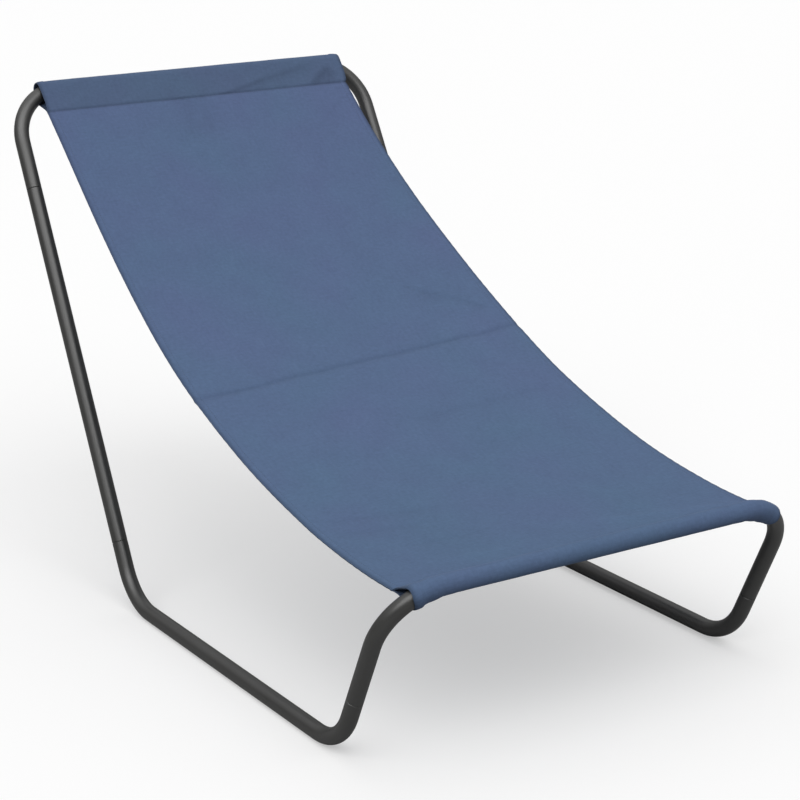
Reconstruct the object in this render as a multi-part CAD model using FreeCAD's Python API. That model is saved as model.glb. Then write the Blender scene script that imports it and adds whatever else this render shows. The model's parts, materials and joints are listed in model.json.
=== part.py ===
import FreeCAD, Part
import math
import os

from FreeCAD import Vector

# A knock-down beach chair: a bent steel tube frame that plugs together, and a fabric sling
# hung between its two crossbars. Millimetres. The sitter faces -Y, so -Y is the front,
# left is -X and right is +X as seen from the front. The origin is on the ground, under
# the middle of the chair's bounding box.

# --- driving dimensions ------------------------------------------------------------------
tube_diameter = 18.0
tube_wall = 1.2
leg_spacing = 500.0  # between the centre lines of the left and right side frames
top_leg_spacing = 481.0  # the same at the top crossbar, because the uprights lean inwards
runner_length = 466.0  # between the two bend corners of a ground runner, on the centre line
back_rise = 556.0  # height of the top crossbar above the runner, centre to centre
back_run = 302.0  # how far the upright leans back over that height
front_rise = 188.0  # height of the front crossbar above the runner
front_run = 92.5  # how far the front leg leans forward over that height
crossbar_bend_radius = 65.0  # on the centre line, as all bend radii
runner_bend_radius = 70.0

# distances of the plug joints from the bend corner of the tube below or above them
rear_joint_from_corner = 73.0
top_joint_from_corner = 123.0
front_joint_from_corner = 69.0
joint_gap = 0.2  # the visible ring between two tube ends
tube_end_chamfer = 0.5

sleeve_held_length = 25.0  # pressed into the lower tube of a joint
sleeve_free_length = 35.0  # what the upper tube slides over
sleeve_wall = 1.4
sleeve_running_clearance = 0.05  # radial, in the tube that slides off
sleeve_taper = 0.55  # off the radius along the free part, so that leaning tubes slide off too
sleeve_end_chamfer = 0.4

fabric_thickness = 1.2
fabric_clearance = 0.3  # from the fabric to the tube inside a pocket
top_pocket_width = 430.0
front_pocket_width = 452.0
panel_width = 450.0  # of the seat and lower back
panel_top_width = 418.0  # where the crossbar's bends gather the sling
taper_start_rise = 300.0  # height at which the sling starts to narrow
panel_gap = 0.8  # between the panel and a pocket's seam

# the sling's hanging curve, between the lines below the two crossbars
sling_front_height = 190.0
sling_top_height = 574.0
sling_sag = 103.0
sling_skew = 7.0
front_seam_from_bar = 34.0  # measured along Y
top_seam_from_bar = 33.0
curve_points = 15

# --- places derived from them ------------------------------------------------------------
tube_radius = tube_diameter / 2
bore_radius = tube_radius - tube_wall
side_x = leg_spacing / 2
axis_height = tube_radius
rear_corner_y = runner_length / 2
front_corner_y = -runner_length / 2
top_bar_y = rear_corner_y + back_run
top_bar_z = axis_height + back_rise
front_bar_y = front_corner_y - front_run
front_bar_z = axis_height + front_rise
pocket_inner_radius = tube_radius + fabric_clearance
pocket_outer_radius = pocket_inner_radius + fabric_thickness

# the bounding box runs from pocket to pocket, so this shift puts the origin at its middle
shift = Vector(0, -(top_bar_y + front_bar_y) / 2, 0)



def bent_path(corners, bend_radius):
    """A wire of straight runs, with a tangent arc at each inner corner."""
    edges = []
    start = corners[0]
    for before, corner, after in zip(corners, corners[1:], corners[2:]):
        way_in = (corner - before).normalize()
        way_out = (after - corner).normalize()
        half_turn = way_in.getAngle(way_out) / 2
        setback = bend_radius * math.tan(half_turn)
        inward = (way_out - way_in).normalize()
        arc_start = corner - way_in * setback
        arc_end = corner + way_out * setback
        arc_middle = corner + inward * (bend_radius / math.cos(half_turn) - bend_radius)
        edges.append(Part.LineSegment(start, arc_start).toShape())
        edges.append(Part.Arc(arc_start, arc_middle, arc_end).toShape())
        start = arc_end
    edges.append(Part.LineSegment(start, corners[-1]).toShape())
    return Part.Wire(edges)


def sweep_circle(corners, bend_radius, radius):
    """A solid round bar along the path through the corners."""
    profile = Part.Wire(Part.Circle(corners[0], corners[1] - corners[0], radius).toShape())
    return bent_path(corners, bend_radius).makePipeShell([profile], True, False)


def end_bevel(end, inward):
    """The ring that a chamfer takes off a tube's outer edge at one end."""
    collar = Part.makeCylinder(tube_radius + 1, tube_end_chamfer, end, inward)
    kept = Part.makeCone(tube_radius - tube_end_chamfer, tube_radius, tube_end_chamfer, end, inward)
    return collar.cut(kept)


def make_tube(corners, bend_radius=crossbar_bend_radius):
    """A round steel tube with chamfered ends, along the path through the corners."""
    tube = sweep_circle(corners, bend_radius, tube_radius)
    tube = tube.cut(sweep_circle(corners, bend_radius, bore_radius))
    tube = tube.cut(end_bevel(corners[0], (corners[1] - corners[0]).normalize()))
    return tube.cut(end_bevel(corners[-1], (corners[-2] - corners[-1]).normalize()))


def make_sleeve(joint, direction):
    """A joint sleeve: pressed into the tube below the joint, tapered inside the one above."""
    running_radius = bore_radius - sleeve_running_clearance
    narrow_radius = running_radius - sleeve_taper
    bottom = joint - direction * sleeve_held_length
    taper_length = sleeve_free_length - sleeve_end_chamfer
    held = Part.makeCylinder(bore_radius, sleeve_held_length, bottom, direction)
    free = Part.makeCone(running_radius, narrow_radius, taper_length, joint, direction)
    tip_start = joint + direction * taper_length
    tip_radius = narrow_radius - sleeve_end_chamfer
    tip = Part.makeCone(narrow_radius, tip_radius, sleeve_end_chamfer, tip_start, direction)
    inside = running_radius - sleeve_wall
    hollow = Part.makeCylinder(inside, sleeve_held_length + sleeve_free_length, bottom, direction)
    return held.fuse([free, tip]).removeSplitter().cut(hollow)


def sling_height(y):
    """Height of the sling's middle surface: a hanging parabola, slightly lower at the front."""
    share = (y - front_bar_y) / (top_bar_y - front_bar_y)
    chord = sling_front_height + (sling_top_height - sling_front_height) * share
    bow = share * (1 - share)
    return chord - 4 * sling_sag * bow + sling_skew * bow * (1 - 2 * share)


def on_sling(y):
    return Vector(0, y, sling_height(y))


def sling_normal(y):
    """Unit normal of the sling in the YZ plane, pointing up and forward."""
    step = 1.0
    along = on_sling(y + step) - on_sling(y - step)
    return Vector(0, -along.z, along.y).normalize()


def make_panel():
    """The sling between its two pockets, as one curved sheet that narrows towards the top."""
    first = front_bar_y + front_seam_from_bar + panel_gap
    last = top_bar_y - top_seam_from_bar - panel_gap
    stations = [first + (last - first) * i / (curve_points - 1) for i in range(curve_points)]
    faces = []
    for side in (-0.5, 0.5):
        face_points = [on_sling(y) + sling_normal(y) * (side * fabric_thickness) for y in stations]
        curve = Part.BSplineCurve()
        curve.interpolate(face_points)
        faces.append((face_points, curve.toShape()))
    (low_points, low_curve), (high_points, high_curve) = faces
    front_edge = Part.LineSegment(low_points[0], high_points[0]).toShape()
    top_edge = Part.LineSegment(low_points[-1], high_points[-1]).toShape()
    section = Part.Face(Part.Wire([low_curve, top_edge, high_curve, front_edge]))
    section.translate(Vector(-side_x, 0, 0))
    sheet = section.extrude(Vector(leg_spacing, 0, 0))
    return sheet.common(panel_outline(first, last))


def panel_outline(first, last):
    """The panel's plan outline as a tall prism: straight sides that taper near the top."""
    margin = 5.0
    taper_y = next(y for y in range(int(first), int(last)) if sling_height(y) > taper_start_rise)
    wide = panel_width / 2
    narrow = panel_top_width / 2
    right = [(wide, first - margin), (wide, taper_y), (narrow, last), (narrow, last + margin)]
    outline = right + [(-x, y) for x, y in reversed(right)]
    corners = [Vector(x, y, 0) for x, y in outline]
    face = Part.Face(Part.makePolygon(corners + corners[:1]))
    return face.extrude(Vector(0, 0, top_bar_z))


def pocket_layer(bar, seam, side, width):
    """One flat fabric layer of a pocket, from the sleeve's tangent point to the seam."""
    middle_radius = pocket_inner_radius + fabric_thickness / 2
    to_seam = seam - bar
    lean = math.acos(middle_radius / to_seam.Length)
    spoke = FreeCAD.Rotation(Vector(1, 0, 0), math.degrees(side * lean)).multVec(to_seam)
    spoke.normalize()
    tangent_point = bar + spoke * middle_radius
    half = spoke * (fabric_thickness / 2)
    ring = [tangent_point - half, tangent_point + half, seam + half, seam - half]
    face = Part.Face(Part.makePolygon(ring + ring[:1]))
    face.translate(Vector(-width / 2, 0, 0))
    return face.extrude(Vector(width, 0, 0))


def make_pocket(corners, seam, width):
    """A sewn pocket: fabric round a crossbar, with two layers that meet at the seam."""
    bar = Vector(0, corners[1].y, corners[1].z)
    outside = sweep_circle(corners, crossbar_bend_radius, pocket_outer_radius)
    inside = sweep_circle(corners, crossbar_bend_radius, pocket_inner_radius)
    reach = 2 * top_joint_from_corner
    slot = Part.makeBox(width, reach, reach, bar - Vector(width / 2, reach / 2, reach / 2))
    layers = [pocket_layer(bar, seam, side, width) for side in (-1, 1)]
    return outside.common(slot).fuse(layers).cut(inside).removeSplitter()


# --- the frame's corner points -----------------------------------------------------------
def side_points(side):
    """The centre line of one side frame as named points. side is -1 for left, 1 for right."""
    rear_corner = Vector(side * side_x, rear_corner_y, axis_height)
    front_corner = Vector(side * side_x, front_corner_y, axis_height)
    top_corner = Vector(side * top_leg_spacing / 2, top_bar_y, top_bar_z)
    front_top_corner = Vector(side * side_x, front_bar_y, front_bar_z)
    up_back = (top_corner - rear_corner).normalize()
    up_front = (front_top_corner - front_corner).normalize()
    return {
        "rear_corner": rear_corner,
        "front_corner": front_corner,
        "top_corner": top_corner,
        "front_top_corner": front_top_corner,
        "upright_direction": up_back,
        "front_leg_direction": up_front,
        "rear_joint": rear_corner + up_back * rear_joint_from_corner,
        "top_joint": top_corner - up_back * top_joint_from_corner,
        "front_joint": front_corner + up_front * front_joint_from_corner,
    }


def crossbar_corners(joint, corner, direction):
    """The centre line of a crossbar, from just above its left joint to its right one."""
    return [
        left[joint] + left[direction] * joint_gap,
        left[corner],
        right[corner],
        right[joint] + right[direction] * joint_gap,
    ]


left = side_points(-1)
right = side_points(1)
top_bar_corners = crossbar_corners("top_joint", "top_corner", "upright_direction")
front_bar_corners = crossbar_corners("front_joint", "front_top_corner", "front_leg_direction")

parts = {
    "top_crossbar_tube": make_tube(top_bar_corners),
    "front_crossbar_tube": make_tube(front_bar_corners),
}
for side, at in {"left": left, "right": right}.items():
    up_back = at["upright_direction"]
    up_front = at["front_leg_direction"]
    runner = [at["rear_joint"], at["rear_corner"], at["front_corner"], at["front_joint"]]
    parts["runner_tube_" + side] = make_tube(runner, runner_bend_radius)
    upright = [at["rear_joint"] + up_back * joint_gap, at["top_joint"]]
    parts["upright_tube_" + side] = make_tube(upright)
    parts["rear_joint_sleeve_" + side] = make_sleeve(at["rear_joint"], up_back)
    parts["top_joint_sleeve_" + side] = make_sleeve(at["top_joint"], up_back)
    parts["front_joint_sleeve_" + side] = make_sleeve(at["front_joint"], up_front)

front_seam = on_sling(front_bar_y + front_seam_from_bar)
top_seam = on_sling(top_bar_y - top_seam_from_bar)
parts["sling_panel"] = make_panel()
parts["sling_top_pocket"] = make_pocket(top_bar_corners, top_seam, top_pocket_width)
parts["sling_front_pocket"] = make_pocket(front_bar_corners, front_seam, front_pocket_width)

os.makedirs("parts", exist_ok=True)
for name, shape in parts.items():
    shape.translate(shift)
    shape.exportStep(os.path.join("parts", name + ".step"))
    box = shape.BoundBox
    print(
        f"{name:26s} valid {shape.isValid()} solids {len(shape.Solids)} volume {shape.Volume:10.1f}",
        f"x {box.XMin:.1f} {box.XMax:.1f} y {box.YMin:.1f} {box.YMax:.1f} z {box.ZMin:.1f} {box.ZMax:.1f}",
    )
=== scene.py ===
import json
import math

import bpy
import numpy as np
from mathutils import Matrix, Vector, noise


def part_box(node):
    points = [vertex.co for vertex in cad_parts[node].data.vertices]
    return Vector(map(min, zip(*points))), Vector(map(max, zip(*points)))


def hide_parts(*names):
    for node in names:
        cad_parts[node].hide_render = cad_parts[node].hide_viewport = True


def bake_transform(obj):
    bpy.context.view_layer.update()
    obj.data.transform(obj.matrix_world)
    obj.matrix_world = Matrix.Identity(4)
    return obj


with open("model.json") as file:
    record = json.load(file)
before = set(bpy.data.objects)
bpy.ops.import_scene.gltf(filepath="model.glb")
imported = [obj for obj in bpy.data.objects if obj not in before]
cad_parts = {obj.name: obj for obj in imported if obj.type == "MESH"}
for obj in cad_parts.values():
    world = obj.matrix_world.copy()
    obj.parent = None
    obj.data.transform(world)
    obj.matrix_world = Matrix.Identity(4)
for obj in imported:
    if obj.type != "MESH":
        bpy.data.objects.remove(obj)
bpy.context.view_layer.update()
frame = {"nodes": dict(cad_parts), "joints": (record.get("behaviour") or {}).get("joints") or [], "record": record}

# --- sizes and places, in metres ---------------------------------------------------------
MM = 0.001
X_AXIS = np.array([1.0, 0.0, 0.0])

tube_radius = 9 * MM
crossbar_bend_radius = 65 * MM
top_corner_x = 240.5 * MM

top_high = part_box("top_crossbar_tube")[1]
front_low, front_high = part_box("front_crossbar_tube")
panel_low, panel_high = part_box("sling_panel")
front_corner_x = front_high.x - tube_radius
top_bar = np.array([0, top_high.y - tube_radius, top_high.z - tube_radius])
front_bar = np.array([0, front_low.y + tube_radius, front_high.z - tube_radius])
axis_of = {j["name"]: np.array(j["axis"]) for j in frame["joints"]}

# The sling: its hanging curve between the two bars, and its outline.
sling_front_height = 190 * MM
sling_top_height = 574 * MM
sling_sag = 103 * MM
sling_skew = 7 * MM
top_seam_y = top_bar[1] - 33 * MM
front_seam_y = front_bar[1] + 34 * MM
sling_half_width = (panel_high.x - panel_low.x) / 2
sling_top_half_width = 209 * MM
taper_start_y = 5 * MM

# How far each pocket reaches along its bar's centre line, left and right of the middle.
top_pocket_reach = (208 * MM, 218 * MM)
front_pocket_reach = (224 * MM, 232 * MM)

# Canvas is stiff: past the bends the pockets stay nearly straight while the tube drops away
# inside them. 1 is fully straight, 0 follows the tube, for the left and the right end.
top_pocket_stiffness = (0.9, 0.97)
front_pocket_stiffness = (0.42, 0.0)
stiffening_turn = 0.12  # radians of bend over which the stiffness sets in

# Where a pocket's end follows the tube, its underside hangs this far below it.
pocket_belly = 3.5 * MM

# How soon a pocket's cloth leaves its seam's x for the bar's. Lower is sooner.
leaving_seam_power = 0.6

# The cloth.
canvas_thickness = 0.9 * MM
pocket_clearance = 0.35 * MM
layer_gap = 0.1 * MM
hem_width = 10 * MM
hem_fold_thickness = 0.6 * MM
hem_stitch_from_edge = 8.5 * MM

# Each pocket's lower layer runs on past the seam by its tail, which is set in from the sides.
front_tail = 9 * MM
top_tail = 0.8 * front_tail
tail_inset = 4.0 * MM
tail_inset_at_seam = 0.4  # the share of the inset that is already there at the seam

stitch_length = 2.6 * MM
stitch_pitch = 3.4 * MM
stitch_width = 0.75 * MM
stitch_height = 0.28 * MM
stitch_sunk_ends = 0.08 * MM
stitch_sunk_middle = 0.12 * MM

# The long crosswise crease lies about here, and the rows are finer beside it and each seam.
long_crease_y = 17 * MM
fine_by_crease = (22 * MM, 34 * MM)
fine_by_seam = (4 * MM, 9 * MM)

# The mesh's fineness.
curve_samples = 4000
circle_points = 144
seam_crowding = 0.09
inner_columns = 110
hem_column_offsets = [v * MM for v in (0, 1.2, 3.2, 5.4, 7.0, 7.8, 8.5, 9.2, 10, 10.8, 12.2)]
hem_zone = 14 * MM
row_spacing = 3.1 * MM
fine_row_spacing = 1.2 * MM
arc_points = 26
flank_points = 12
tail_points = 4


def smooth_step(x, low, high):
    """0 below low, 1 above high, and a smooth rise between."""
    t = np.clip((x - low) / (high - low), 0, 1)
    return t * t * (3 - 2 * t)


def sling_height(y):
    """The hanging curve: a chord between the two ends, with a slightly skewed sag."""
    share = (y - front_bar[1]) / (top_bar[1] - front_bar[1])
    chord = sling_front_height + (sling_top_height - sling_front_height) * share
    bow = share * (1 - share)
    return chord - 4 * sling_sag * bow + sling_skew * bow * (1 - 2 * share)


def half_width(y):
    """Half of the sling's width, which narrows towards the top seam."""
    narrowing = smooth_step(y, taper_start_y, top_seam_y)
    return sling_half_width + (sling_top_half_width - sling_half_width) * narrowing


# --- materials ---------------------------------------------------------------------------
coat_dark, coat_light = (0.034, 0.034, 0.032), (0.045, 0.045, 0.043)
dust_dark, dust_light = (0.90, 0.90, 0.90), (1.0, 1.0, 1.0)
plating_dark, plating_light = (0.48, 0.48, 0.47), (0.62, 0.62, 0.60)
canvas_violet, canvas_teal = (0.0985, 0.1385, 0.258), (0.0915, 0.1465, 0.252)
# The pocket's tint is painted shade: it darkens the cloth above the top seam.
canvas_pocket_painted_shade, no_tint = (0.86, 0.89, 0.84), (1, 1, 1)
canvas_top_hue, canvas_front_hue = (1.02, 0.985, 1.01), (0.945, 1.0, 0.965)
thread_dark, thread_light = (0.036, 0.052, 0.096), (0.056, 0.078, 0.136)

# Noise textures mostly stay between these two values.
noise_low, noise_high = 0.3, 0.7


def new_material(name):
    material = bpy.data.materials.new(name)
    material.use_nodes = True
    nodes = material.node_tree.nodes
    return material, nodes, material.node_tree.links, nodes["Principled BSDF"]


def add_noise(nodes, links, place, scale, detail=2.0, stretch=None):
    """A noise texture at the given scale per metre, stretched if asked. Returns its output."""
    texture = nodes.new("ShaderNodeTexNoise")
    texture.inputs["Scale"].default_value = scale
    texture.inputs["Detail"].default_value = detail
    if stretch:
        mapping = nodes.new("ShaderNodeMapping")
        mapping.inputs["Scale"].default_value = stretch
        links.new(place, mapping.inputs["Vector"])
        place = mapping.outputs["Vector"]
    links.new(place, texture.inputs["Vector"])
    return texture.outputs["Fac"]


def add_ramp(nodes, links, value, dark, light, start=noise_low, end=noise_high):
    """A colour from dark to light as the value goes from start to end."""
    ramp = nodes.new("ShaderNodeValToRGB")
    ramp.color_ramp.elements[0].position = start
    ramp.color_ramp.elements[1].position = end
    ramp.color_ramp.elements[0].color = (*dark, 1)
    ramp.color_ramp.elements[1].color = (*light, 1)
    links.new(value, ramp.inputs["Fac"])
    return ramp.outputs["Color"]


def add_range(nodes, links, value, low, high):
    """A number from low to high as a noise value goes over its usual range."""
    spread = nodes.new("ShaderNodeMapRange")
    spread.inputs["From Min"].default_value = noise_low
    spread.inputs["From Max"].default_value = noise_high
    spread.inputs["To Min"].default_value = low
    spread.inputs["To Max"].default_value = high
    links.new(value, spread.inputs["Value"])
    return spread.outputs["Result"]


def add_bump(nodes, links, height, strength, distance, below=None):
    """A normal bumped by a height, on top of another bumped normal if one is given."""
    bump = nodes.new("ShaderNodeBump")
    bump.inputs["Strength"].default_value = strength
    bump.inputs["Distance"].default_value = distance
    links.new(height, bump.inputs["Height"])
    if below:
        links.new(below, bump.inputs["Normal"])
    return bump.outputs["Normal"]


def mix_colours(nodes, links, kind, share, first, second):
    """The first colour mixed with the second in the way that kind names."""
    mix = nodes.new("ShaderNodeMix")
    mix.data_type = "RGBA"
    mix.blend_type = kind
    mix.inputs["Factor"].default_value = share
    links.new(first, mix.inputs["A"])
    links.new(second, mix.inputs["B"])
    return mix.outputs["Result"]


def coated_steel():
    """Dark grey powder coat: semi-gloss, with a fine orange peel and a little dust."""
    material, nodes, links, shader = new_material("powder_coat")
    shader.inputs["IOR"].default_value = 1.8
    place = nodes.new("ShaderNodeTexCoord").outputs["Object"]
    patches = add_noise(nodes, links, place, scale=17, detail=4)
    specks = add_noise(nodes, links, place, scale=620, detail=3)
    tone = add_ramp(nodes, links, patches, coat_dark, coat_light)
    dust = add_ramp(nodes, links, specks, dust_dark, dust_light)
    links.new(mix_colours(nodes, links, "MULTIPLY", 1.0, tone, dust), shader.inputs["Base Color"])
    links.new(add_range(nodes, links, patches, 0.33, 0.41), shader.inputs["Roughness"])
    peel = add_noise(nodes, links, place, scale=1400, detail=2)
    links.new(add_bump(nodes, links, peel, 0.25, 0.1 * MM), shader.inputs["Normal"])
    return material


def plated_steel():
    """Zinc-plated sleeves, drawn lengthways, so the marks run along them."""
    material, nodes, links, shader = new_material("plated_steel")
    shader.inputs["Metallic"].default_value = 1.0
    place = nodes.new("ShaderNodeTexCoord").outputs["Object"]
    marks = add_noise(nodes, links, place, scale=300, detail=4, stretch=(4, 1, 0.25))
    patches = add_noise(nodes, links, place, scale=60, detail=3)
    tone = add_ramp(nodes, links, patches, plating_dark, plating_light)
    links.new(tone, shader.inputs["Base Color"])
    links.new(add_range(nodes, links, marks, 0.22, 0.42), shader.inputs["Roughness"])
    links.new(add_bump(nodes, links, marks, 0.2, 0.05 * MM), shader.inputs["Normal"])
    return material


def canvas(top_seam, front_seam):
    """Slate-blue woven canvas. The map named cloth is in metres: along the sling, across it.
    The two seams are places along it. A point attribute darkens or lightens the cloth: painted shade in creases,
    at the seams, along the edges and under the front roll, and painted light on ridges."""
    material, nodes, links, shader = new_material("canvas")
    shader.inputs["Roughness"].default_value = 0.92
    shader.inputs["Specular IOR Level"].default_value = 0.15
    shader.inputs["Sheen Weight"].default_value = 0.06
    shader.inputs["Sheen Roughness"].default_value = 0.4
    uv = nodes.new("ShaderNodeUVMap")
    uv.uv_map = "cloth"
    place = uv.outputs["UV"]
    clouds = add_noise(nodes, links, place, scale=7, detail=3)
    blotches = add_noise(nodes, links, place, scale=28, detail=4)
    mottle = add_noise(nodes, links, place, scale=240, detail=4)
    slubs = add_noise(nodes, links, place, scale=60, detail=3, stretch=(14, 1, 1))
    warp = add_noise(nodes, links, place, scale=60, detail=2, stretch=(1, 16, 1))
    tone = add_ramp(nodes, links, clouds, canvas_violet, canvas_teal)
    for value, darkest in ((blotches, 0.975), (mottle, 0.945), (slubs, 0.955), (warp, 0.97)):
        shade = add_ramp(nodes, links, value, (darkest,) * 3, (2 - darkest,) * 3)
        tone = mix_colours(nodes, links, "MULTIPLY", 1.0, tone, shade)
    # Painted shade and painted light from the point attribute, multiplied into the colour.
    painted_shading = nodes.new("ShaderNodeAttribute")
    painted_shading.attribute_name = "painted_light_and_shade"
    tone = mix_colours(nodes, links, "MULTIPLY", 1.0, tone, painted_shading.outputs["Fac"])
    # The pocket above the top seam, where the cloth is doubled, is painted darker: painted shade for its steeper
    # face, which gets less light. The hue drifts from the top seam to the front seam.
    along = nodes.new("ShaderNodeSeparateXYZ")
    links.new(place, along.inputs["Vector"])
    for start, end, first_tint, last_tint in (
        (top_seam - 1.5 * MM, top_seam + 0.5 * MM, canvas_pocket_painted_shade, no_tint),
        (top_seam, front_seam, canvas_top_hue, canvas_front_hue),
    ):
        stretch = nodes.new("ShaderNodeMapRange")
        stretch.inputs["From Min"].default_value = start
        stretch.inputs["From Max"].default_value = end
        links.new(along.outputs["X"], stretch.inputs["Value"])
        tint = add_ramp(nodes, links, stretch.outputs["Result"], first_tint, last_tint, 0, 1)
        tone = mix_colours(nodes, links, "MULTIPLY", 1.0, tone, tint)
    links.new(tone, shader.inputs["Base Color"])
    normal = add_bump(nodes, links, slubs, 0.30, 0.12 * MM)
    for direction in ("X", "Y"):
        threads = nodes.new("ShaderNodeTexWave")
        threads.bands_direction = direction
        threads.inputs["Scale"].default_value = 420
        threads.inputs["Distortion"].default_value = 0.6
        threads.inputs["Detail"].default_value = 1.0
        links.new(place, threads.inputs["Vector"])
        normal = add_bump(nodes, links, threads.outputs["Fac"], 0.22, 0.08 * MM, below=normal)
    links.new(normal, shader.inputs["Normal"])
    return material


def sewing_thread():
    """Thread darker than the canvas, with its twisted plies as fine marks."""
    material, nodes, links, shader = new_material("sewing_thread")
    shader.inputs["Roughness"].default_value = 0.7
    shader.inputs["Sheen Weight"].default_value = 0.1
    place = nodes.new("ShaderNodeTexCoord").outputs["Object"]
    plies = add_noise(nodes, links, place, scale=1800, detail=2)
    tone = add_ramp(nodes, links, plies, thread_dark, thread_light)
    links.new(tone, shader.inputs["Base Color"])
    links.new(add_bump(nodes, links, plies, 0.4, 0.1 * MM), shader.inputs["Normal"])
    return material


# --- the sling's middle surface ----------------------------------------------------------
class Crossbar:
    """A crossbar's centre line: straight in the middle, then bent down its two legs."""

    def __init__(self, middle, leg_direction, corner_x, reach, stiffness):
        self.middle = middle
        self.leg_direction = leg_direction
        self.flank = np.cross(X_AXIS, leg_direction)
        self.straight_half = corner_x - crossbar_bend_radius
        self.reach = reach
        self.stiffness = stiffness

    def section(self, along):
        """At a length along the bar from its middle: the centre, and how far it has turned."""
        side = 1 if along >= 0 else -1
        turn = max(abs(along) - self.straight_half, 0) / crossbar_bend_radius
        x = side * (min(abs(along), self.straight_half) + crossbar_bend_radius * math.sin(turn))
        drop = crossbar_bend_radius * (1 - math.cos(turn))
        centre = self.middle + x * X_AXIS - drop * self.leg_direction
        return centre, turn

    def along_for(self, seam_x, seam_half):
        """Where the pocket's cloth above a seam point goes round the bar."""
        if abs(seam_x) <= self.straight_half:
            return seam_x
        reach = self.reach[1] if seam_x > 0 else self.reach[0]
        share = (abs(seam_x) - self.straight_half) / (seam_half - self.straight_half)
        return math.copysign(self.straight_half + share * (reach - self.straight_half), seam_x)


top_crossbar = Crossbar(
    top_bar, axis_of["top_frame_pull"], top_corner_x, top_pocket_reach, top_pocket_stiffness
)
front_crossbar = Crossbar(
    front_bar, axis_of["front_frame_pull"], front_corner_x, front_pocket_reach, front_pocket_stiffness
)

edge_offsets = np.array(hem_column_offsets)
column_share = np.concatenate([
    np.full(len(edge_offsets), -1.0),
    np.linspace(-1, 1, inner_columns),
    np.full(len(edge_offsets), 1.0),
])
column_shift = np.concatenate(
    [-(hem_zone - edge_offsets), np.zeros(inner_columns), (hem_zone - edge_offsets)[::-1]]
)
columns = len(column_share)
middle = columns // 2


def column_x(y):
    """The x of every column of the cloth at a panel's y."""
    return column_share * (half_width(y) - hem_zone) + column_shift


# The hem's folded layers make the cloth thicker up to the hem's width from each edge.
hem_depth = np.minimum(column_x(0) - column_x(0)[0], column_x(0)[-1] - column_x(0))
beyond_hem = smooth_step(hem_depth, hem_width - 0.6 * MM, hem_width + 1.4 * MM)
hem_extra = hem_fold_thickness * (1 - beyond_hem)


def panel_rows():
    """The panel's rows from the top seam to the front seam, closer where it is creased."""
    y = np.linspace(top_seam_y, front_seam_y, curve_samples)
    slope = np.gradient(sling_height(y), y)
    step = np.abs(np.gradient(y)) * np.sqrt(1 + slope**2)
    fine = np.zeros(curve_samples)
    for place, (near, far) in (
        (long_crease_y, fine_by_crease), (top_seam_y, fine_by_seam), (front_seam_y, fine_by_seam)
    ):
        fine = np.maximum(fine, smooth_step(-np.abs(y - place), -far, -near))
    density = (1 - fine) / row_spacing + fine / fine_row_spacing
    count = np.concatenate([[0], np.cumsum((density * step)[1:])])
    return np.interp(np.linspace(0, count[-1], int(round(count[-1]))), count, y)


def panel_normal(y):
    """The upper side's direction on the hanging curve."""
    slope = (sling_height(y + 0.1 * MM) - sling_height(y - 0.1 * MM)) / (0.2 * MM)
    return np.array([0, -slope, 1]) / math.hypot(slope, 1)


def loop_outline(points, start, end):
    """The part of the points' convex outline that runs from start round to end."""
    no_turn = 1e-13
    clear_of_seam = 8 * MM
    ordered = sorted(map(tuple, points))

    def half(sequence):
        chain = []
        for p in sequence:
            while len(chain) > 1 and (
                (chain[-1][0] - chain[-2][0]) * (p[1] - chain[-2][1])
                - (chain[-1][1] - chain[-2][1]) * (p[0] - chain[-2][0])
            ) <= no_turn:
                chain.pop()
            chain.append(p)
        return chain[:-1]

    outline = np.array(half(ordered) + half(ordered[::-1]))[::-1]
    seam = (start + end) / 2
    far = outline[np.linalg.norm(outline - seam, axis=1) > clear_of_seam]
    turned = np.arctan2(*(far - seam).T[::-1])
    away = far.mean(axis=0) - seam
    swing = (turned - math.atan2(away[1], away[0]) + math.pi) % (2 * math.pi) - math.pi
    first = int(swing.argmax())
    far = np.roll(far, -first, axis=0)
    return np.concatenate([start[None], far, end[None]])


def resample(line, flank, arc):
    """Points along a pocket's loop, closer near the seam at its two ends."""
    lengths = np.concatenate([[0], np.cumsum(np.linalg.norm(np.diff(line, axis=0), axis=1))])
    share = np.linspace(0, 1, 2 * (flank - 1) + arc)
    spread = share - seam_crowding * np.sin(2 * math.pi * share)
    return np.stack([np.interp(spread * lengths[-1], lengths, line[:, k]) for k in (0, 1)], axis=1)


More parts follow.
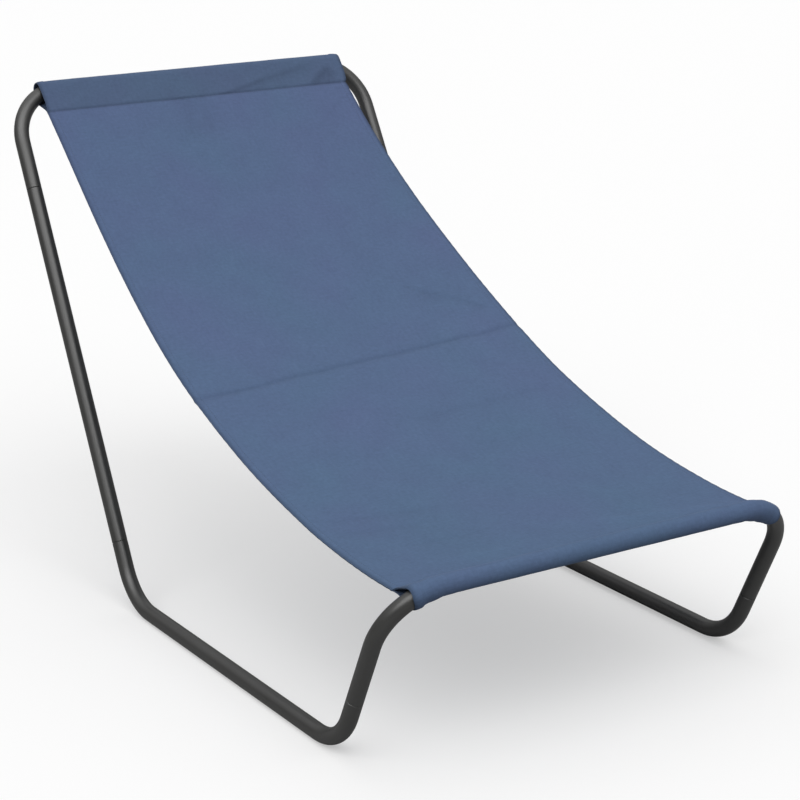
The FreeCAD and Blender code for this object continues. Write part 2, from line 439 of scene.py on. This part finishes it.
def pocket_path(bar, seam, under, along, extra):
    """From the seam round the bar and back under the seam. Each point is worked out in the
    bar's cross plane (flank, leg direction). Its x then follows the bar's bend, or stays."""
    centre, turn = bar.section(along)
    radius = tube_radius + pocket_clearance + canvas_thickness / 2 + extra
    side = 1 if along > 0 else 0
    stiff = bar.stiffness[side] * smooth_step(turn, 0.0, stiffening_turn)

    def in_plane(point):
        arm = point - bar.middle
        return np.array([arm @ bar.flank, arm @ bar.leg_direction])

    drop = (bar.middle - centre) @ bar.leg_direction
    turns = np.linspace(0, 2 * math.pi, circle_points + 1)[:-1]
    circle = radius * np.stack([np.cos(turns), np.sin(turns)], axis=1)
    tube = circle * (1, 1 + stiff * (1 / math.cos(turn) - 1)) + (0, -drop)
    stretched = circle + (0, -drop * (1 - stiff))
    start, end = (under, seam) if bar is top_crossbar else (seam, under)
    flat_start, flat_end = in_plane(start), in_plane(end)
    points = np.concatenate([tube, stretched, flat_start[None], flat_end[None]])
    loop = resample(loop_outline(points, flat_start, flat_end), flank_points, arc_points)
    # Square to the bar, a point's height over the centre line leans out with the bend.
    across, up = loop[:, 0], loop[:, 1] + drop
    lean = (1 - stiff) * (1 if along > 0 else -1) * math.sin(turn)
    near_seam = 1 - np.sin(np.linspace(0, math.pi, len(loop))) ** leaving_seam_power
    x_bar = centre[0] + np.clip(up, -radius, radius) * lean
    x = x_bar + (seam[0] - x_bar) * near_seam
    level = -drop + up * (1 - (1 - stiff) * (1 - math.cos(turn)) * (1 - near_seam))
    share = min(1, turn * crossbar_bend_radius / (bar.reach[side] - bar.straight_half))
    inside = np.clip(-up / radius, 0, 1) * (1 - near_seam) * (1 - stiff)
    level = level - pocket_belly * 4 * share * (1 - share) * inside
    path = bar.middle + np.outer(across, bar.flank) + np.outer(level, bar.leg_direction)
    path[:, 0] = x
    path[0], path[-1] = start, end
    return path


def tail_path(y_seam, y_end, x_seam, extra):
    """The pocket's cut edge, flat against the panel's back, from the seam on."""
    back = canvas_thickness + layer_gap + 2 * extra
    points = []
    for share in np.linspace(0, 1, tail_points + 1):
        y = y_seam + (y_end - y_seam) * share
        x = x_seam * (1 - tail_inset / sling_half_width * min(1, tail_inset_at_seam + share))
        points.append(np.array([x, y, sling_height(y)]) - panel_normal(y) * back)
    return np.array(points)


def cloth_surface():
    """The whole sheet: rows from the top pocket's cut edge down to the front pocket's."""
    panel_y = panel_rows()
    panel_x = np.array([column_x(y) for y in panel_y])
    sheet = []
    for c in range(columns):
        x_top, x_front = panel_x[0, c], panel_x[-1, c]
        extra = hem_extra[c]
        top_back = tail_path(top_seam_y, top_seam_y - top_tail, x_top, extra)
        front_back = tail_path(front_seam_y, front_seam_y + front_tail, x_front, extra)
        panel = np.column_stack([panel_x[:, c], panel_y, sling_height(panel_y)])
        top_along = top_crossbar.along_for(x_top, sling_top_half_width)
        front_along = front_crossbar.along_for(x_front, sling_half_width)
        top = pocket_path(top_crossbar, panel[0], top_back[0], top_along, extra)
        front = pocket_path(front_crossbar, panel[-1], front_back[0], front_along, extra)
        column = [top_back[:0:-1], top[:-1], panel, front[1:], front_back[1:]]
        sheet.append(np.concatenate(column))
    return np.stack(sheet, axis=1), len(panel_y)


def surface_normals(grid):
    """Unit directions on the outer side of a grid of points, by its neighbours."""
    normal = np.cross(np.gradient(grid, axis=0), np.gradient(grid, axis=1))
    normal /= np.linalg.norm(normal, axis=2, keepdims=True)
    return normal


flat_cloth, panel_row_count = cloth_surface()
flat_normals = surface_normals(flat_cloth)
top_seam_row = tail_points + 2 * (flank_points - 1) + arc_points
front_seam_row = top_seam_row + panel_row_count - 1
if flat_normals[(top_seam_row + front_seam_row) // 2, middle][2] < 0:
    raise ValueError("the cloth is inside out")
middle_line = flat_cloth[:, middle]
steps = np.linalg.norm(np.diff(middle_line, axis=0), axis=1)
cloth_length = np.concatenate([[0], np.cumsum(steps)])
from_top_seam = (cloth_length - cloth_length[top_seam_row])[:, None]
from_front_seam = (cloth_length - cloth_length[front_seam_row])[:, None]
cloth_x = np.broadcast_to(column_x(0)[None, :], flat_cloth.shape[:2])
row_index = np.arange(len(flat_cloth))[:, None]
on_panel = (row_index >= top_seam_row) & (row_index <= front_seam_row)


# --- creases, seams and the cloth's own unevenness ----------------------------------------
def crease(x, y, start, end, steep, gentle):
    """The shape of a fold from start to end in (x, y), 1 along its line: steep on its left
    side and gentle on its right, as seen going from start to end. All four are in mm."""
    fade, softness = 0.12, 0.9 * MM
    start, end = np.array(start) * MM, np.array(end) * MM
    run = end - start
    length = np.linalg.norm(run)
    along = ((x - start[0]) * run[0] + (y - start[1]) * run[1]) / length**2
    across = ((y - start[1]) * run[0] - (x - start[0]) * run[1]) / length
    ends = smooth_step(along, -fade, fade) * (1 - smooth_step(along, 1 - fade, 1 + fade))
    width = np.where(across > 0, steep, gentle) * MM
    softened = np.sqrt(across**2 + softness**2) - softness
    return ends * np.exp(-softened / width)


def noise_field(a, b, scale, seed):
    """Smooth noise from about -1 to 1 over the cloth, at a scale per metre."""
    points = zip((a * scale).ravel().tolist(), (b * scale).ravel().tolist())
    values = [noise.noise(Vector((p, q, seed))) for p, q in points]
    return np.array(values).reshape(a.shape)


cloth_along = np.broadcast_to(cloth_length[:, None], flat_cloth.shape[:2])
x_place, y_place = flat_cloth[..., 0], flat_cloth[..., 1]
waver = noise_field(cloth_x, cloth_along, scale=26, seed=3.1)
everywhere = np.zeros(flat_cloth.shape[:2])

# Each: start, end, depth, width on the left and on the right, in mm, and how much painted shade (negative) or
# painted light (positive) the crease's cloth gets. A positive depth lifts the cloth.
panel_creases = [
    ((-235, 1.2), (235, 31.5), -1.6, 2.4, 7.0, -0.11),
    ((-235, -5.8), (235, 24.5), 0.5, 5.0, 9.0, 0.05),
    ((10, -90.0), (190, -79.5), -0.6, 3.0, 9.0, -0.05),
    ((134, 105.0), (203, 67.5), -0.9, 3.0, 6.0, -0.08),
    ((118, 118.0), (150, 84.0), -0.6, 4.0, 6.0, -0.05),
    ((-200, -238.0), (-88, -253.0), -0.6, 4.0, 9.0, -0.05),
    ((-205, -266.0), (-110, -280.0), -0.6, 4.0, 9.0, -0.05),
    ((-150, -318.0), (-60, -322.0), -0.5, 4.0, 9.0, -0.04),
    ((40, -352.0), (214, -391.0), 0.6, 5.0, 6.0, 0.05),
    ((-150, -362.0), (-20, -371.0), 0.4, 5.0, 7.0, 0.03),
    ((-38, 345.0), (-22, 397.0), -0.9, 14.0, 14.0, -0.07),
    ((-8, 352.0), (-2, 397.0), -0.5, 9.0, 9.0, -0.05),
    ((150, 330.0), (196, 384.0), -0.4, 10.0, 8.0, -0.02),
]
# Beside the lift, a field of painted shade (negative) and painted light (positive) for the cloth's colour.
lift, painted_light_and_shade = everywhere.copy(), everywhere.copy()
waver_mm = 2.0
wavering_y = y_place + waver * waver_mm * MM
for start, end, depth, steep, gentle, tone in panel_creases:
    shape = on_panel * crease(x_place, wavering_y, start, end, steep, gentle)
    lift += depth * MM * shape
    # Painted shade or painted light along the crease.
    painted_light_and_shade += tone * shape

# On the top pocket the second coordinate is the length of cloth up from the seam.
pocket_creases = [
    ((22, 0.0), (95, 17.0), 0.7, 3.2, 5.0, 0.0),
    ((22, -3.0), (95, 13.0), -0.25, 3.0, 4.0, -0.14),
    ((90, 17.0), (178, 35.0), 0.6, 3.2, 5.0, 0.0),
    ((90, 13.0), (178, 30.0), -0.2, 3.0, 4.0, -0.12),
    ((168, 2.0), (203, 30.0), 0.8, 3.0, 4.5, 0.0),
    ((174, 0.0), (206, 24.0), -0.3, 4.5, 6.0, -0.20),
    ((196, 0.0), (208, 20.0), 0.6, 3.0, 4.0, -0.10),
    ((-205, 4.0), (-150, 24.0), 0.5, 3.5, 5.5, 0.02),
    ((-110, 2.0), (-60, 26.0), 0.3, 4.0, 6.0, 0.02),
]
on_top_pocket = (row_index > tail_points + flank_points - 2) & (row_index < top_seam_row)
up_from_seam = everywhere - from_top_seam
# Along each pocket crease the cloth is also painted darker or lighter: painted shade and painted light.
for start, end, depth, steep, gentle, tone in pocket_creases:
    shape = on_top_pocket * crease(cloth_x, up_from_seam, start, end, steep, gentle)
    lift += depth * MM * shape
    painted_light_and_shade += tone * shape

# Round the front bar the cloth gathers in soft waves towards the two bends, and its underside is painted darker:
# painted shade under the roll.
gather_height, gather_pitch, roll_underside_painted_shade = 0.35 * MM, 17 * MM, 0.10
front_arc = smooth_step(from_front_seam, 4 * MM, 30 * MM)
front_arc = front_arc * (1 - smooth_step(from_front_seam, 75 * MM, 92 * MM))
gather = smooth_step(np.abs(cloth_x), 150 * MM, 215 * MM)
lift += front_arc * gather * gather_height * (1 + np.sin(2 * math.pi * cloth_x / gather_pitch))
# Painted shade on the underside of the roll.
painted_light_and_shade -= roll_underside_painted_shade * smooth_step(from_front_seam, 52 * MM, 66 * MM)

# The hanging cloth is slightly uneven, less so close to the seams.
slow_mm, quick_mm = 1.1, 0.22
slow = noise_field(cloth_x, cloth_along, scale=9, seed=7.7) * slow_mm * MM
quick = noise_field(cloth_x, cloth_along, scale=34, seed=1.3) * quick_mm * MM
away_from_seams = smooth_step(np.abs(from_top_seam), 6 * MM, 60 * MM) * smooth_step(
    np.abs(from_front_seam), 6 * MM, 60 * MM
)
lift += on_panel * (slow * away_from_seams + quick)
lift += ~on_panel * np.abs(quick)

# Sewing draws the cloth in: a shallow valley at each line, and small puckers beside it.
seam_pucker_height, seam_pucker_pitch, seam_pucker_reach = 0.12 * MM, 11 * MM, 7 * MM
seam_valley_depth, seam_valley_width = 0.60 * MM, 1.7 * MM
seam_painted_shade, seam_painted_shade_width = 0.22, 2.2 * MM
for distance in (from_top_seam, from_front_seam):
    pucker = np.sin(2 * math.pi * cloth_x / seam_pucker_pitch + 3 * waver)
    lift += seam_pucker_height * pucker * np.exp(-np.abs(distance) / seam_pucker_reach) * on_panel
    lift -= seam_valley_depth * np.exp(-((distance / seam_valley_width) ** 2))
# Painted shade along the top seam's valley.
painted_light_and_shade -= seam_painted_shade * np.exp(-((from_top_seam / seam_painted_shade_width) ** 2))

# The hems: rounded at the edge, with painted shade along the edge, puckered, and with a valley at the line of
# stitches.
edge_drop, edge_drop_width, edge_painted_shade = 0.8 * MM, 1.6 * MM, 0.34
hem_pucker_height, hem_pucker_pitch, hem_pucker_reach = 0.14 * MM, 13 * MM, 9 * MM
hem_valley_depth, hem_valley_width = 0.22 * MM, 0.9 * MM
edge_distance = np.minimum(cloth_x - cloth_x[:, :1], cloth_x[:, -1:] - cloth_x)
from_stitches = edge_distance - hem_stitch_from_edge
lift -= edge_drop * np.exp(-edge_distance / edge_drop_width)
# Painted shade along both edges of the cloth.
painted_light_and_shade -= edge_painted_shade * (1 - smooth_step(edge_distance, 1.2 * MM, 4.6 * MM))
hem_pucker = np.sin(2 * math.pi * cloth_along / hem_pucker_pitch + 4 * waver)
lift += hem_pucker_height * hem_pucker * np.exp(-edge_distance / hem_pucker_reach) * on_panel
lift -= hem_valley_depth * np.exp(-((from_stitches / hem_valley_width) ** 2)) * on_panel

# The two faces of the cloth. The hems' extra layers are on the back.
cloth = flat_cloth + flat_normals * lift[..., None]
normals = surface_normals(cloth)
upper = cloth + normals * (canvas_thickness / 2)
lower = cloth - normals * (canvas_thickness / 2 + hem_extra[None, :, None])
lower_normals = -surface_normals(lower)


# --- materials on the pieces --------------------------------------------------------------
canvas_finish = canvas(float(cloth_length[top_seam_row]), float(cloth_length[front_seam_row]))
thread_finish = sewing_thread()
finish_of = {
    "frame_coating": coated_steel(),
    "joint_steel": plated_steel(),
    "sling_fabric": canvas_finish,
}
for part in frame["record"]["subparts"]:
    node = frame["nodes"][part["node"]]
    node.data.materials.clear()
    node.data.materials.append(finish_of[part["material_slot"]])


# --- meshes of the sling --------------------------------------------------------------------
def stitches_along(points, outward):
    """One lozenge of thread per stitch, lying on a line of the cloth's surface."""
    lengths = np.concatenate([[0], np.cumsum(np.linalg.norm(np.diff(points, axis=0), axis=1))])
    starts = np.arange(stitch_pitch / 2, lengths[-1] - stitch_length, stitch_pitch)
    vertices, faces = [], []

    def at(values, s):
        return np.array([np.interp(s, lengths, values[:, k]) for k in range(3)])

    for s in starts:
        first, last = at(points, s), at(points, s + stitch_length)
        centre = at(points, s + stitch_length / 2)
        up = at(outward, s + stitch_length / 2)
        up /= np.linalg.norm(up)
        side = np.cross(last - first, up)
        side *= stitch_width / 2 / np.linalg.norm(side)
        sunk = up * stitch_sunk_ends
        base = len(vertices)
        vertices += [first - sunk, last - sunk, centre + side, centre - side]
        vertices += [centre + up * stitch_height, centre - up * stitch_sunk_middle]
        for a, b in ((2, 4), (4, 3), (3, 5), (5, 2)):
            faces += [(base, base + b, base + a), (base + 1, base + a, base + b)]
    return vertices, faces


def cloth_piece(name, rows):
    """A closed thin mesh of some of the cloth's rows, with the whole cloth's normals."""
    top_side, back_side = upper[rows], lower[rows]
    count_rows, count_columns = top_side.shape[:2]
    count = count_rows * count_columns
    vertices = np.concatenate([top_side.reshape(-1, 3), back_side.reshape(-1, 3)])
    index = np.arange(count).reshape(count_rows, count_columns)
    a, b = index[:-1, :-1].ravel(), index[:-1, 1:].ravel()
    c, d = index[1:, 1:].ravel(), index[1:, :-1].ravel()
    faces = [np.stack([a, d, c, b], axis=1), np.stack([a, b, c, d], axis=1) + count]
    for edge, flip in ((index[0], 0), (index[-1], 1), (index[:, 0], 1), (index[:, -1], 0)):
        p, q = edge[:-1], edge[1:]
        rim = np.stack([p, q, q + count, p + count], axis=1)
        faces.append(rim[:, ::-1] if flip else rim)
    faces = np.concatenate(faces)
    rim_count = len(faces) - 2 * len(a)

    thread_vertices, thread_faces = [], []

    def sew(points, outward):
        if len(points) < 2:
            return
        base = len(vertices) + len(thread_vertices)
        new_vertices, new_faces = stitches_along(points, outward)
        thread_vertices.extend(new_vertices)
        thread_faces.extend(tuple(base + i for i in face) for face in new_faces)

    first, last = rows.start, rows.stop
    panel = slice(max(first, top_seam_row), min(last, front_seam_row + 1))
    for column in hem_stitch_columns:
        sew(upper[panel, column], normals[panel, column])
        sew(lower[panel, column], -normals[panel, column])
    for seam_row, under_row in seam_rows:
        if first <= seam_row < last and first <= under_row < last:
            sew(upper[seam_row], normals[seam_row])
            sew(upper[under_row], normals[under_row])

    mesh = bpy.data.meshes.new(name)
    all_vertices = np.concatenate([vertices, np.array(thread_vertices).reshape(-1, 3)])
    mesh.from_pydata(all_vertices.tolist(), [], faces.tolist() + thread_faces)
    mesh.update()
    smooth = np.ones(len(mesh.polygons), bool)
    smooth[len(faces) - rim_count : len(faces)] = False
    mesh.polygons.foreach_set("use_smooth", smooth)
    material_index = np.zeros(len(mesh.polygons), np.int32)
    material_index[len(faces) :] = 1
    mesh.polygons.foreach_set("material_index", material_index)

    flat = np.stack([cloth_along[rows], cloth_x[rows]], axis=2).reshape(-1, 2)
    flat = np.concatenate([flat, flat, np.zeros((len(thread_vertices), 2))])
    # Painted shade and painted light per point of the cloth; the thread gets none.
    painted_shading = np.concatenate([np.tile(1 + painted_light_and_shade[rows].ravel(), 2), np.ones(len(thread_vertices))])
    mesh.attributes.new("painted_light_and_shade", "FLOAT", "POINT").data.foreach_set("value", painted_shading.astype(np.float32))
    corners = np.empty(len(mesh.loops), np.int32)
    mesh.loops.foreach_get("vertex_index", corners)
    layer = mesh.uv_layers.new(name="cloth")
    layer.data.foreach_set("uv", flat[corners].astype(np.float32).ravel())

    own = np.empty(len(mesh.loops) * 3, np.float32)
    mesh.corner_normals.foreach_get("vector", own)
    loop_normals = own.reshape(-1, 3)
    given = np.concatenate([normals[rows].reshape(-1, 3), lower_normals[rows].reshape(-1, 3)])
    sheet_corners = 2 * 4 * len(a)
    loop_normals[:sheet_corners] = given[corners[:sheet_corners]]
    mesh.normals_split_custom_set(loop_normals.tolist())
    mesh.materials.append(canvas_finish)
    mesh.materials.append(thread_finish)
    piece = bpy.data.objects.new(name, mesh)
    bpy.context.scene.collection.objects.link(piece)
    return piece


stitch_column = hem_column_offsets.index(hem_stitch_from_edge)
hem_stitch_columns = (stitch_column, columns - 1 - stitch_column)

# Each seam's row on the panel, and the row of the pocket's lower layer right under it.
seam_rows = (
    (top_seam_row, tail_points),
    (front_seam_row, len(cloth) - 1 - tail_points),
)

# The sheet is split where one pair of bodies beside it hands over to the next.
upper_share, lower_share = 0.34, 0.74
upper_cut = top_seam_row + int(upper_share * panel_row_count)
lower_cut = top_seam_row + int(lower_share * panel_row_count)
last_row = len(cloth) - 1

# Each: the rows it has, the rows its blend runs between, the two bodies, and the CAD node.
pieces = {
    "sling_upper": (
        (0, upper_cut), (top_seam_row, upper_cut), "top_frame", "upright_left", "sling_top_pocket"
    ),
    "sling_middle": (
        (upper_cut, lower_cut), (upper_cut, lower_cut), "upright_left", "base", "sling_panel"
    ),
    "sling_lower": (
        (lower_cut, last_row), (lower_cut, front_seam_row), "base", "front_frame", "sling_front_pocket"
    ),
}
for name, ((first, last), blend_rows, body_a, body_b, node_name) in pieces.items():
    piece = cloth_piece(name, slice(first, last + 1))
    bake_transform(piece)
    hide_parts(node_name)


# --- floor, light and camera ---------------------------------------------------------------
floor_bounce, floor_seen, floor_glow = 0.32, 0.58, 0.42
sky_horizon, sky_zenith, backdrop_seen = 0.05, 0.85, 0.97
sun_elevation, sun_spread = 50, 46  # degrees


def make_floor():
    """A white sweep, larger than any view of the chair."""
    half = 16
    mesh = bpy.data.meshes.new("floor")
    corners = [(-half, -half, 0), (half, -half, 0), (half, half, 0), (-half, half, 0)]
    mesh.from_pydata(corners, [], [(0, 1, 2, 3)])
    floor = bpy.data.objects.new("floor", mesh)
    material, nodes, links, shader = new_material("floor")
    # A white sweep with part of its brightness from behind, as a light table has, so the
    # shadow stays pale. The light it throws back up is that of a grey studio floor.
    ray = nodes.new("ShaderNodeLightPath").outputs["Is Camera Ray"]
    tone = add_ramp(nodes, links, ray, (floor_bounce,) * 3, (floor_seen,) * 3, 0, 1)
    links.new(tone, shader.inputs["Base Color"])
    shader.inputs["Roughness"].default_value = 1.0
    shader.inputs["Specular IOR Level"].default_value = 0.0
    shader.inputs["Emission Color"].default_value = (1, 1, 1, 1)
    glow = nodes.new("ShaderNodeMath")
    glow.operation = "MULTIPLY"
    glow.inputs[1].default_value = floor_glow
    links.new(ray, glow.inputs[0])
    links.new(glow.outputs["Value"], shader.inputs["Emission Strength"])
    mesh.materials.append(material)
    bpy.context.scene.collection.objects.link(floor)


def make_world():
    """A soft dome of light, dimmer towards the horizon, in front of a white backdrop."""
    world = bpy.data.worlds.new("studio")
    world.use_nodes = True
    nodes, links = world.node_tree.nodes, world.node_tree.links
    direction = nodes.new("ShaderNodeTexCoord").outputs["Generated"]
    split = nodes.new("ShaderNodeSeparateXYZ")
    links.new(direction, split.inputs["Vector"])
    spread = nodes.new("ShaderNodeMapRange")
    spread.inputs["From Min"].default_value = 0.0
    spread.inputs["From Max"].default_value = 1.0
    spread.inputs["To Min"].default_value = sky_horizon
    spread.inputs["To Max"].default_value = sky_zenith
    links.new(split.outputs["Z"], spread.inputs["Value"])
    seen = nodes.new("ShaderNodeMix")
    seen.inputs["B"].default_value = backdrop_seen
    links.new(nodes.new("ShaderNodeLightPath").outputs["Is Camera Ray"], seen.inputs["Factor"])
    links.new(spread.outputs["Result"], seen.inputs["A"])
    links.new(seen.outputs["Result"], nodes["Background"].inputs["Strength"])
    nodes["Background"].inputs["Color"].default_value = (1, 1, 1, 1)
    bpy.context.scene.world = world


def soft_sun(name, azimuth, strength):
    """A broad, even light from far away. Azimuth 0 is straight ahead of the chair's front."""
    data = bpy.data.lights.new(name, "SUN")
    data.angle = math.radians(sun_spread)
    data.energy = strength
    light = bpy.data.objects.new(name, data)
    turn, rise = math.radians(azimuth), math.radians(sun_elevation)
    level = math.cos(rise)
    towards = Vector((math.sin(turn) * level, -math.cos(turn) * level, math.sin(rise)))
    light.location = towards * 5
    light.rotation_mode = "QUATERNION"
    light.rotation_quaternion = (-towards).to_track_quat("-Z", "Y")
    bpy.context.scene.collection.objects.link(light)


def make_camera():
    """The camera that was fitted to the photo's view of the tubes."""
    azimuth, elevation, roll = (math.radians(v) for v in (-32.1144, 16.4294, -0.7318))
    distance = 2.46861
    aim = Vector((0, -0.0588951, 0.25768382))
    level = math.cos(elevation)
    back = Vector((math.sin(azimuth) * level, -math.cos(azimuth) * level, math.sin(elevation)))
    data = bpy.data.cameras.new("camera")
    data.sensor_width = 36
    data.lens = 99.2763
    data.clip_end = 60
    camera = bpy.data.objects.new("camera", data)
    camera.rotation_mode = "QUATERNION"
    turn = (-back).to_track_quat("-Z", "Y")
    camera.rotation_quaternion = turn @ Matrix.Rotation(roll, 4, "Z").to_quaternion()
    camera.location = aim + back * distance
    bpy.context.scene.collection.objects.link(camera)
    bpy.context.scene.camera = camera


make_floor()
make_world()
soft_sun("key_left", azimuth=-62, strength=0.80)
soft_sun("key_right", azimuth=-4, strength=0.82)
make_camera()
bpy.context.scene.view_settings.view_transform = "Standard"
